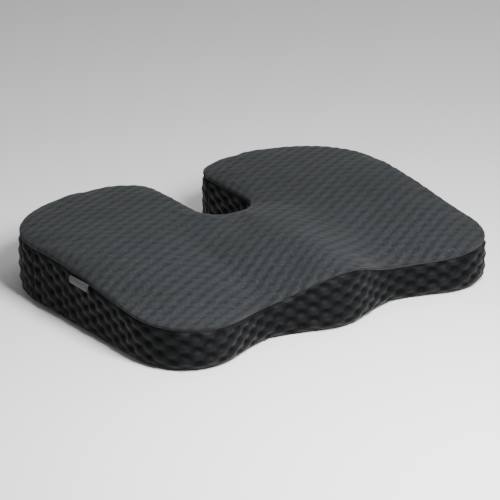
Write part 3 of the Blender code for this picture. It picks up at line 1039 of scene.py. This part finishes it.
def makeBase():
    look = baseLook
    count = int(perimeter / look["spacing"])
    outline, normals = outlineAt(np.arange(count) * perimeter / count)
    shape = [(look["inset"] + inward, look["underside"] + rise) for inward, rise in look["lowEdge"]]
    shape += [(look["inset"] + inward, look["top"] - drop) for inward, drop in look["highEdge"]]
    rings = [atHeight(outline - normals * inset, z) for inset, z in shape]
    lowNet, _, lowFaces = planNet(rings[0][:, :2], look["inset"], look["lowSpacing"])
    highNet, _, highFaces = planNet(rings[-1][:, :2], look["inset"], look["highSpacing"])
    base = len(shape) * count
    sag = look["underside"] + look["sag"] * noiseAt(atHeight(lowNet, 0.0), look["sagSize"], 5)
    points = np.concatenate(rings + [np.column_stack([lowNet, sag]), atHeight(highNet, look["top"])])
    faces = ringFaces(count, len(shape))
    faces += netOver(lowFaces, count, 0, base)
    faces += netOver(highFaces, count, base - count, base + len(lowNet))
    obj = makeObject("baseCloth", points, faces)
    setUv(obj, points[:, :2])
    placePiece(obj, "root", gripCloth, ["base_panel"])


def mergeShapes(shapes):
    # One set of points and faces from several
    points, faces, start = [], [], 0
    for shapePoints, shapeFaces in shapes:
        points.append(shapePoints)
        faces += shiftFaces(shapeFaces, start)
        start += len(shapePoints)
    return np.concatenate(points), faces


def joinCopies(name, shape, shapeFaces, placements):
    # One object of many small copies, each placed by a 3x3 matrix and a point
    points, faces = mergeShapes([(shape @ turn.T + place, shapeFaces) for turn, place in placements])
    return makeObject(name, points, faces)


def domeShape(radius, height, sides=12):
    # A low dome that points down, closed at its flat side
    points = [
        (radius * share * x, radius * share * y, -height * drop)
        for share, drop in ((1.0, 0.0), (0.94, 0.55), (0.66, 0.9))
        for x, y in circle(sides)
    ]
    tip = len(points)
    points.append((0, 0, -height))
    faces = ringFaces(sides, 3)
    faces += [(tip - sides + side, tip - sides + (side + 1) % sides, tip) for side in range(sides)]
    faces.append(list(reversed(range(sides))))
    return np.array(points), faces


def makeGripDots():
    look = baseLook
    pitch = look["dotPitch"]
    fieldX, fieldY = look["dotField"]
    rowPitch = pitch * rowShare
    gridX, gridY = np.meshgrid(np.arange(-fieldX, fieldX, pitch), np.arange(-fieldY, fieldY, rowPitch))
    gridX[1::2] += pitch / 2
    spots = np.stack([gridX.ravel(), gridY.ravel()], 1)
    spots = spots[inside(spots)]
    away = np.array([edgeTree.find((x, y, 0))[2] for x, y in spots])
    spots = spots[away > look["inset"] + look["edgeClear"]]
    shape, shapeFaces = domeShape(look["dotRadius"], look["underside"] - 0.00005)
    placements = [(np.eye(3), np.array([x, y, look["underside"] + look["dotLift"]])) for x, y in spots]
    obj = joinCopies("gripDots", shape, shapeFaces, placements)
    placePiece(obj, "root", gripRubber)
    print("grip dots", len(spots))


def stitchShape(length, width, sides=6):
    # One thread of a seam: a bowed capsule along X that stands out along Z
    stations = (
        (-0.5, 0.15, -0.4), (-0.42, 0.8, 0.2), (-0.2, 1.0, 0.75),
        (0.2, 1.0, 0.75), (0.42, 0.8, 0.2), (0.5, 0.15, -0.4),
    )
    points = [
        (along * length, width * size * x, width * (lift + size * y))
        for along, size, lift in stations
        for x, y in circle(sides)
    ]
    faces = ringFaces(sides, len(stations))
    faces += [list(reversed(range(sides))), list(range(len(points) - sides, len(points)))]
    return np.array(points), faces


def frameOf(along, out):
    along = along / np.linalg.norm(along)
    out = out - along * (out @ along)
    out = out / np.linalg.norm(out)
    return np.column_stack([along, np.cross(out, along), out])


def makeBaseStitches():
    # Slanted overlock stitches where the base cloth meets the band
    look = baseLook
    count = int(perimeter / look["stitchPitch"])
    outline, normals = outlineAt(np.arange(count) * perimeter / count)
    shape, shapeFaces = stitchShape(look["stitchLength"], look["stitchWidth"])
    edgeward, outward, upward = look["stitchSlant"]
    placements = []
    for point, normal in zip(outline, normals):
        tangent = np.array([-normal[1], normal[0]])
        along = np.array([*(tangent * edgeward + normal * outward), upward])
        place = np.array([*(point - normal * look["stitchIn"]), look["underside"] + look["stitchLift"]])
        placements.append((frameOf(along, np.array([0, 0, -1.0])), place))
    obj = joinCopies("baseStitches", shape, shapeFaces, placements)
    placePiece(obj, "root", threadBlack)


makeBase()
makeGripDots()
makeBaseStitches()

# zip

zipLook = {
    # half a tape in section, as (out, up): the band's side, then behind the coil to the middle
    "tapeSection": [
        (-0.00070, 0.0099), (-0.00070, 0.0037), (-0.00166, 0.0033), (-0.00166, 0.00014),
        (-0.00182, 0.00014), (-0.00182, 0.0035), (-0.00130, 0.0040), (-0.00130, 0.0099),
    ],
    "tapeSteps": 90,
    "tapeMargin": 0.0004,
    "ripple": 0.00012,
    "rippleLength": 0.031,
    "rippleFrom": 0.0036,
    "toothPitch": 0.0013,
    "toothRadius": 0.00044,
    "toothSides": 6,
    "toothPath": (            # up, out and size from the foot on the tape to the round head
        (0.00305, -0.00120, 0.7), (0.00280, -0.00086, 1.0), (0.00190, -0.00080, 1.0),
        (0.00120, -0.00084, 1.05), (0.00085, -0.00100, 1.0), (0.00070, -0.00125, 0.6),
    ),
    "coilMargin": 0.0094,
    "cordPast": 0.0004,
    "cordOut": (-0.00150, -0.00105),
    "cordUp": (0.00215, 0.00265),
    "cordSteps": 40,
    "cordRound": 0.0001,
    "stopHalf": 0.00125,
    "stopOut": (-0.0016, -0.0001),
    "stopUp": 0.0030,
    "stopRound": 0.0004,
    "stitchPitch": 0.0036,
    "stitchLength": 0.0026,
    "stitchWidth": 0.00028,
    "stitchBack": 0.0024,
    "stitchMargin": 0.004,
    "stitchOut": 0.00012,
}


def boxGrid(low, high, steps, bevel):
    # A block with rounded edges, cut into steps along its longest side
    bm = bmesh.new()
    bmesh.ops.create_cube(bm, size=1)
    for vert in bm.verts:
        vert.co = Vector([mix(low[k], high[k], vert.co[k] + 0.5) for k in range(3)])
    bmesh.ops.bevel(bm, geom=bm.edges, offset=bevel, segments=2, affect="EDGES", profile=0.6)
    longest = max(range(3), key=lambda k: high[k] - low[k])
    axis = Vector([float(k == longest) for k in range(3)])
    for step in range(1, steps):
        cut = mix(low[longest], high[longest], step / steps)
        whole = bm.verts[:] + bm.edges[:] + bm.faces[:]
        bmesh.ops.bisect_plane(bm, geom=whole, plane_co=axis * cut, plane_no=axis)
    return takeShape(bm)


def makeTapes():
    look = zipLook
    section = np.array(look["tapeSection"])
    count = len(section)
    loose = section[:, 1] > look["rippleFrom"]
    stations = np.linspace(look["tapeMargin"], zipLength - look["tapeMargin"], look["tapeSteps"])
    for name, node, sign in (("zipTapeUpper", "zip_tape_upper", 1), ("zipTapeLower", "zip_tape_lower", -1)):
        local = []
        for along in stations:
            ripple = look["ripple"] * math.sin(along * 2 * math.pi / look["rippleLength"] + sign) * loose
            out = section[:, 0] + ripple
            local.append(np.column_stack([np.full(count, along), out, sign * section[:, 1]]))
        local = np.concatenate(local)
        faces = ringFaces(count, len(stations))
        faces += [list(range(count)), list(range(len(local) - count, len(local)))]
        obj = makeObject(name, zipPoints(local), faces, smooth=False)
        setUv(obj, local[:, [0, 2]])
        placePiece(obj, "root", tapeWeave, [node])


def makeCoils():
    # Each coil as a row of bent teeth with round heads, and the cord through their feet
    look = zipLook
    sides, pitch, radius = look["toothSides"], look["toothPitch"], look["toothRadius"]
    first, last = look["coilMargin"], zipLength - look["coilMargin"]
    cordLow = (first - look["cordPast"], look["cordOut"][0], look["cordUp"][0])
    cordHigh = (last + look["cordPast"], look["cordOut"][1], look["cordUp"][1])
    cord, cordFaces = boxGrid(cordLow, cordHigh, look["cordSteps"], look["cordRound"])
    coils = (("zipCoilUpper", "zip_coil_upper", 1, 0.0), ("zipCoilLower", "zip_coil_lower", -1, 0.5))
    for name, node, sign, offset in coils:
        tooth = np.array([
            (radius * size * x, out + radius * size * 0.8 * y, sign * up)
            for up, out, size in look["toothPath"]
            for x, y in circle(sides)
        ])
        faces = ringFaces(sides, len(look["toothPath"]))
        faces += [list(range(sides)), list(range(len(tooth) - sides, len(tooth)))]
        shapes = [(tooth + [along, 0, 0], faces) for along in np.arange(first + offset * pitch, last, pitch)]
        shapes.append((cord * [1, 1, sign], cordFaces))
        local, faces = mergeShapes(shapes)
        obj = makeObject(name, zipPoints(local), faces)
        placePiece(obj, "root", coilNylon, [node])


def makeStops():
    look = zipLook
    for name, node in (("zipTopStop", "zip_top_stop"), ("zipBottomStop", "zip_bottom_stop")):
        low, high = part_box(node)
        middle = (np.array(low[:2]) + np.array(high[:2])) / 2 - sideFront
        along = float(middle @ zipAlong)
        low = (along - look["stopHalf"], look["stopOut"][0], -look["stopUp"])
        high = (along + look["stopHalf"], look["stopOut"][1], look["stopUp"])
        local, faces = boxGrid(low, high, 1, look["stopRound"])
        obj = makeObject(name, zipPoints(local), faces)
        placePiece(obj, "root", zipPaint, [node])


def makeZipStitches():
    look = zipLook
    shape, shapeFaces = stitchShape(look["stitchLength"], look["stitchWidth"])
    placements = []
    turn = frameOf(np.array([*zipAlong, 0]), np.array([*zipOut, 0]))
    margin = look["stitchMargin"]
    for sign in (1, -1):
        up = sign * (slotHalf + look["stitchBack"])
        for along in np.arange(margin, zipLength - margin, look["stitchPitch"]):
            placements.append((turn, zipPoints([along, look["stitchOut"], up])[0]))
    obj = joinCopies("zipStitches", shape, shapeFaces, placements)
    placePiece(obj, "root", threadBlack)


sliderLook = {
    "length": 0.0110,
    "height": 0.0074,
    "faceOut": 0.0010,
    "plate": 0.0011,
    "plateRound": 0.00028,
    "innerPlate": 0.0006,
    "innerOut": -0.0019,
    "innerRound": 0.00015,
    "postLength": 0.0040,
    "postHeight": 0.0002,
    "postRound": 0.0001,
    "postSinks": (0.0002, 0.0004),      # into the inner plate and into the face
    "bailWidth": 0.0022,
    "bailSink": 0.0003,
    "shoulder": 0.55,         # how far past the hinge the bail's legs go, as a share of its reach
    "spring": 0.4,            # and where its outer arch begins
    "reach": 0.0008,
    "bailPost": 0.0011,
    "bailBar": 0.0009,
}


def rimEdges(bm):
    # The edges that lie in a plate's two faces
    return [e for e in bm.edges if abs(e.verts[0].co.y - e.verts[1].co.y) < 1e-7]


def extrudedPlate(outline, outLow, outHigh, bevel):
    # A plate with rounded edges from an outline of (along, up) points
    bm = bmesh.new()
    face = bm.faces.new([bm.verts.new((along, outLow, up)) for along, up in outline])
    made = bmesh.ops.extrude_face_region(bm, geom=[face])
    moved = [g for g in made["geom"] if isinstance(g, bmesh.types.BMVert)]
    bmesh.ops.translate(bm, vec=(0, outHigh - outLow, 0), verts=moved)
    bmesh.ops.bevel(bm, geom=rimEdges(bm), offset=bevel, segments=3, affect="EDGES", profile=0.5)
    return takeShape(bm)


def sliderOutline(length, height):
    # Shield shape: round shoulders at the leading end and a narrower tail
    half = length / 2
    outline = arc((-half * 0.45, 0), (half * 0.55, height / 2), math.pi / 2, math.pi, 24)
    outline += [(half * 0.1, -height * 0.5), (half * 0.6, -height * 0.42)]
    outline += arc((half * 0.8, 0), (half * 0.2, height * 0.38), -math.pi / 2, math.pi, 8)
    return outline + [(half * 0.6, height * 0.42), (half * 0.1, height * 0.5)]


def bailShape():
    # An arch along the zip, over the pull's end bar
    look = sliderLook
    reach, foot = look["reach"], look["faceOut"] - look["bailSink"]
    wide, shoulder = reach + look["bailPost"], hingeOut + reach * look["shoulder"]
    spring = reach * look["spring"]
    top = reach + look["bailBar"]
    ring = [(-wide, foot), (-wide, shoulder)]
    ring += arc((0, hingeOut + spring), (wide, top - spring), math.pi, -math.pi, 12)
    ring += [(wide, shoulder), (wide, foot), (reach, foot)]
    ring += arc((0, hingeOut), (reach, reach), 0, math.pi, 12) + [(-reach, foot)]
    half, count = look["bailWidth"] / 2, len(ring)
    bm = bmesh.new()
    verts = [bm.verts.new((along, out, up)) for up in (-half, half) for along, out in ring]
    for face in ringFaces(count, 2):
        bm.faces.new([verts[c] for c in face])
    caps = [bm.faces.new(verts[:count]), bm.faces.new(list(reversed(verts[count:])))]
    bmesh.ops.triangulate(bm, faces=caps)
    return takeShape(bm)


def makeSlider():
    look = sliderLook
    face, inner = look["faceOut"], look["innerOut"]
    outline = sliderOutline(look["length"], look["height"])
    postLow = (-look["postLength"] / 2, inner - look["postSinks"][0], -look["postHeight"] / 2)
    postHigh = (look["postLength"] / 2, face - look["postSinks"][1], look["postHeight"] / 2)
    local, faces = mergeShapes([
        extrudedPlate(outline, face - look["plate"], face, look["plateRound"]),
        extrudedPlate(outline, inner - look["innerPlate"], inner, look["innerRound"]),
        boxGrid(postLow, postHigh, 1, look["postRound"]),
        bailShape(),
    ])
    obj = makeObject("zipSliderBody", zipPoints(local + [sliderMiddle, 0, 0]), faces, smooth=False)
    placePiece(obj, "slider", zipPaint, ["zip_slider"])


pullLook = {
    "length": 0.0180,
    "height": 0.0060,
    "corner": 0.0006,
    "bar": 0.0010,
    "window": 0.0036,
    "arm": 0.0012,
    "waist": 0.0046,
    "waistPlace": (0.0075, 0.0110),
    "round": 0.0002,
}


def makePull():
    # A flat tab with a window for the bail, a waist and a round end
    look = pullLook
    bar, half, waist, corner = look["bar"] / 2, look["height"] / 2, look["waist"] / 2, look["corner"]
    near, far = look["waistPlace"]
    windowEnd = bar + look["window"]
    outer = [(-bar, -half + corner), (-bar + corner, -half), (windowEnd, -half)]
    outer += [(near, -waist), (far, -waist)]
    outer += arc((look["length"] - bar - half, 0), (half, half), -math.pi / 2, math.pi, 14)
    outer += [(far, waist), (near, waist)]
    outer += [(windowEnd, half), (-bar + corner, half), (-bar, half - corner)]
    width = half - look["arm"]
    hole = [(bar, -width), (bar, width), (windowEnd, width), (windowEnd, -width)]
    bm = bmesh.new()
    for height in (hingeOut - bar, hingeOut + bar):
        edges = []
        for loop in (outer, hole):
            verts = [bm.verts.new((along, height, up)) for along, up in loop]
            edges += [bm.edges.new((verts[i], verts[(i + 1) % len(verts)])) for i in range(len(verts))]
        bmesh.ops.triangle_fill(bm, use_beauty=True, edges=edges, normal=(0, 1, 0))
    bm.verts.ensure_lookup_table()
    total = len(outer) + len(hole)
    for start, count in ((0, len(outer)), (len(outer), len(hole))):
        for i in range(count):
            a, b = start + i, start + (i + 1) % count
            bm.faces.new((bm.verts[a], bm.verts[b], bm.verts[b + total], bm.verts[a + total]))
    bmesh.ops.recalc_face_normals(bm, faces=bm.faces)
    bmesh.ops.dissolve_limit(bm, angle_limit=0.01, verts=bm.verts, edges=bm.edges)
    rims = [e for e in rimEdges(bm) if e.calc_face_angle(0) > 1]
    bmesh.ops.bevel(bm, geom=rims, offset=look["round"], segments=2, affect="EDGES", profile=0.5)
    local, faces = takeShape(bm)
    obj = makeObject("zipPullTab", zipPoints(local + [sliderMiddle, 0, 0]), faces, smooth=False)
    placePiece(obj, "pull", zipPaint, ["zip_pull"])


makeTapes()
makeCoils()
makeStops()
makeZipStitches()
makeSlider()
makePull()
print("zip made")

# blank side label

labelLook = {
    "length": 0.0315,
    "drop": 0.0074,
    "thickness": 0.0004,
    "fold": 0.0008,
    "out": 0.0022,
    "bow": 0.0012,
    "bowTurn": 0.9,
    "innerBow": 0.8,
    "curl": 0.0004,
    "steps": 26,
    "dropSteps": 8,
}


def makeLabel():
    # A ribbon folded at its lower edge, sewn into the seam above
    look = labelLook
    low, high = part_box("side_label")
    top, fold = high.z, look["fold"]
    share = ((low.y + high.y) / 2 - sideFront[1]) / (sideRear[1] - sideFront[1])
    middle = mix(sideFront, sideRear, share)
    downs = [step / look["dropSteps"] for step in range(look["dropSteps"] + 1)]
    bows = [look["bow"] * math.sin(math.pi * down * look["bowTurn"]) for down in downs]
    path = [(look["out"] + bow, top - look["drop"] * down) for bow, down in zip(bows, downs)]
    inner = look["out"] - 2 * fold
    back = [(inner + bow * look["innerBow"], top - look["drop"] * down) for bow, down in zip(bows, downs)]
    turn = arc((path[-1][0] - fold, path[-1][1]), (fold, fold), 0, -math.pi, 6)[1:-1]
    path = np.array(path + turn + back[::-1])
    tangent = np.gradient(path, axis=0)
    tangent /= np.linalg.norm(tangent, axis=1)[:, None]
    side = np.column_stack([-tangent[:, 1], tangent[:, 0]]) * look["thickness"] / 2
    section = np.concatenate([path + side, (path - side)[::-1]])
    points, uv = [], []
    for step in range(look["steps"]):
        share = step / (look["steps"] - 1)
        along = mix(-look["length"] / 2, look["length"] / 2, share)
        curl = look["curl"] * math.cos(math.pi * share)
        for out, z in section:
            place = middle + zipAlong * along + zipOut * (out + curl * (top - z) / look["drop"])
            points.append((-place[0], place[1], z))
            uv.append((along, z))
    count = len(section)
    faces = ringFaces(count, look["steps"])
    for base in (0, len(points) - count):
        for i in range(count // 2 - 1):
            faces.append((base + i, base + i + 1, base + count - 2 - i, base + count - 1 - i))
    obj = makeObject("sideLabel", np.array(points), faces)
    setUv(obj, np.array(uv))
    placePiece(obj, "root", labelSatin, ["side_label"])


makeLabel()

# foam and liner inside the cover

coreLook = {
    "spacing": 0.006,
    "lowSpacing": 0.02,
    "rollEdges": (0.026, 0.020, 0.014, 0.009, 0.006),
    "wallTurn": 0.008,
    "foamIn": 0.0041,
    "foamBelow": 0.0038,
    "foamLow": 0.0043,
    "foamFootIn": 0.004,
    "linerIn": 0.0028,
    "linerBelow": 0.0024,
    "linerThickness": 0.0010,
    "sheetLow": 0.0029,
    "sheetHigh": 0.0039,
    "sheetInset": 0.0060,
}


def contouredRings(outline, normals, inset, below, low):
    # Rings from the inner edge of the seat surface out over the roll and down the wall
    look = coreLook
    rings = [surfaceRing(outline, normals, edge, below) for edge in (*look["rollEdges"], inset)]
    seam = rings[-1][:, 2]
    for share in (0.75, 0.5, 0.25):
        rings.append(atHeight(outline - normals * inset, mix(contour["footHeight"], seam, share)))
    for z in (contour["footHeight"], look["wallTurn"], low):
        rings.append(atHeight(outline - normals * (inset + footInset(z)), z))
    return rings


def makeCore():
    look = coreLook
    count = int(perimeter / look["spacing"])
    outline, normals = outlineAt(np.arange(count) * perimeter / count)
    innermost = look["rollEdges"][0]
    netPoints, away, netFaces = planNet(outline - normals * innermost, innermost, look["spacing"])
    netHeight = surfaceHeight(netPoints[:, 0], netPoints[:, 1], away)

    def topCap(below):
        return np.column_stack([netPoints, netHeight - below])

    rings = contouredRings(outline, normals, look["foamIn"], look["foamBelow"], look["foamLow"])
    base = len(rings) * count
    footIn = look["foamIn"] + look["foamFootIn"]
    lowPoints, _, lowFaces = planNet(rings[-1][:, :2], footIn, look["lowSpacing"])
    points = np.concatenate(rings + [topCap(look["foamBelow"]), atHeight(lowPoints, look["foamLow"])])
    faces = ringFaces(count, len(rings)) + netOver(netFaces, count, 0, base)
    faces += netOver(lowFaces, count, base - count, base + len(netPoints))
    foam = makeObject("foamCore", points, faces)
    placePiece(foam, "root", coreFoam, ["foam_core"])

    outerIn, outerBelow = look["linerIn"], look["linerBelow"]
    innerIn, innerBelow = outerIn + look["linerThickness"], outerBelow + look["linerThickness"]
    rings = contouredRings(outline, normals, outerIn, outerBelow, look["foamLow"])
    rings += contouredRings(outline, normals, innerIn, innerBelow, look["foamLow"])[::-1]
    base = len(rings) * count
    points = np.concatenate(rings + [topCap(outerBelow), topCap(innerBelow)])
    faces = ringFaces(count, len(rings)) + netOver(netFaces, count, 0, base)
    faces += netOver(netFaces, count, base - count, base + len(netPoints))
    liner = makeObject("linerTop", points, faces)
    setUv(liner, points[:, :2] + points[:, 2:] * [0.7, 0.7])
    placePiece(liner, "root", linerJersey, ["liner_top"])

    edge = outline - normals * look["sheetInset"]
    sheetPoints, _, sheetFaces = planNet(edge, look["sheetInset"], look["lowSpacing"])
    levels = (look["sheetLow"], look["sheetHigh"])
    points = np.concatenate([atHeight(place, z) for place in (edge, sheetPoints) for z in levels])
    faces = ringFaces(count, 2)
    for level in (0, 1):
        faces += netOver(sheetFaces, count, level * count, 2 * count + level * len(sheetPoints))
    linerBase = makeObject("linerBase", points, faces)
    setUv(linerBase, points[:, :2])
    placePiece(linerBase, "root", linerJersey, ["liner_base"])


makeCore()
print("core made")

# floor, light and camera

studio = {
    "target": (0.0, 0.0, 0.030),
    "distance": 2.171,
    "azimuth": -35.96,
    "elevation": 22.4,
    "lens": 143.0,
    "floorColour": (0.82, 0.82, 0.82),
    "floorSize": 4,
    "floorDrop": 0.0004,
    "worldStrength": 0.28,
    "lights": (               # name, place, size and power
        ("keyLight", (-0.10, -0.68, 0.68), 0.36, 26),
        ("sideLight", (2.7, -0.2, 1.0), 1.4, 23),
        ("topLight", (0.5, 0.0, 1.8), 1.2, 6),
    ),
}


def makeStudio():
    look = studio
    bm = bmesh.new()
    bmesh.ops.create_grid(bm, x_segments=1, y_segments=1, size=look["floorSize"])
    mesh = bpy.data.meshes.new("floor")
    bm.to_mesh(mesh)
    bm.free()
    floor = bpy.data.objects.new("floor", mesh)
    floor.location.z = -look["floorDrop"]
    bpy.context.scene.collection.objects.link(floor)
    material, _, shader = newMaterial("floorPaint", 0.9)
    shader.inputs["Base Color"].default_value = (*look["floorColour"], 1)
    mesh.materials.append(material)

    world = bpy.data.worlds.new("studio")
    bpy.context.scene.world = world
    world.use_nodes = True
    background = world.node_tree.nodes["Background"].inputs
    background["Color"].default_value = (1, 1, 1, 1)
    background["Strength"].default_value = look["worldStrength"]

    target = Vector(look["target"])
    for name, place, size, power in look["lights"]:
        light = bpy.data.lights.new(name, "AREA")
        light.size = size
        light.energy = power
        lamp = bpy.data.objects.new(name, light)
        lamp.location = place
        lamp.rotation_euler = (target - Vector(place)).to_track_quat("-Z", "Y").to_euler()
        bpy.context.scene.collection.objects.link(lamp)

    camera = bpy.data.cameras.new("camera")
    camera.lens = look["lens"]
    camera.clip_end = 20
    eye = bpy.data.objects.new("camera", camera)
    azimuth, elevation = math.radians(look["azimuth"]), math.radians(look["elevation"])
    level = math.cos(elevation)
    away = Vector((math.sin(azimuth) * level, -math.cos(azimuth) * level, math.sin(elevation)))
    eye.location = target + away * look["distance"]
    eye.rotation_euler = (-away).to_track_quat("-Z", "Y").to_euler()
    bpy.context.scene.collection.objects.link(eye)
    bpy.context.scene.camera = eye


makeStudio()
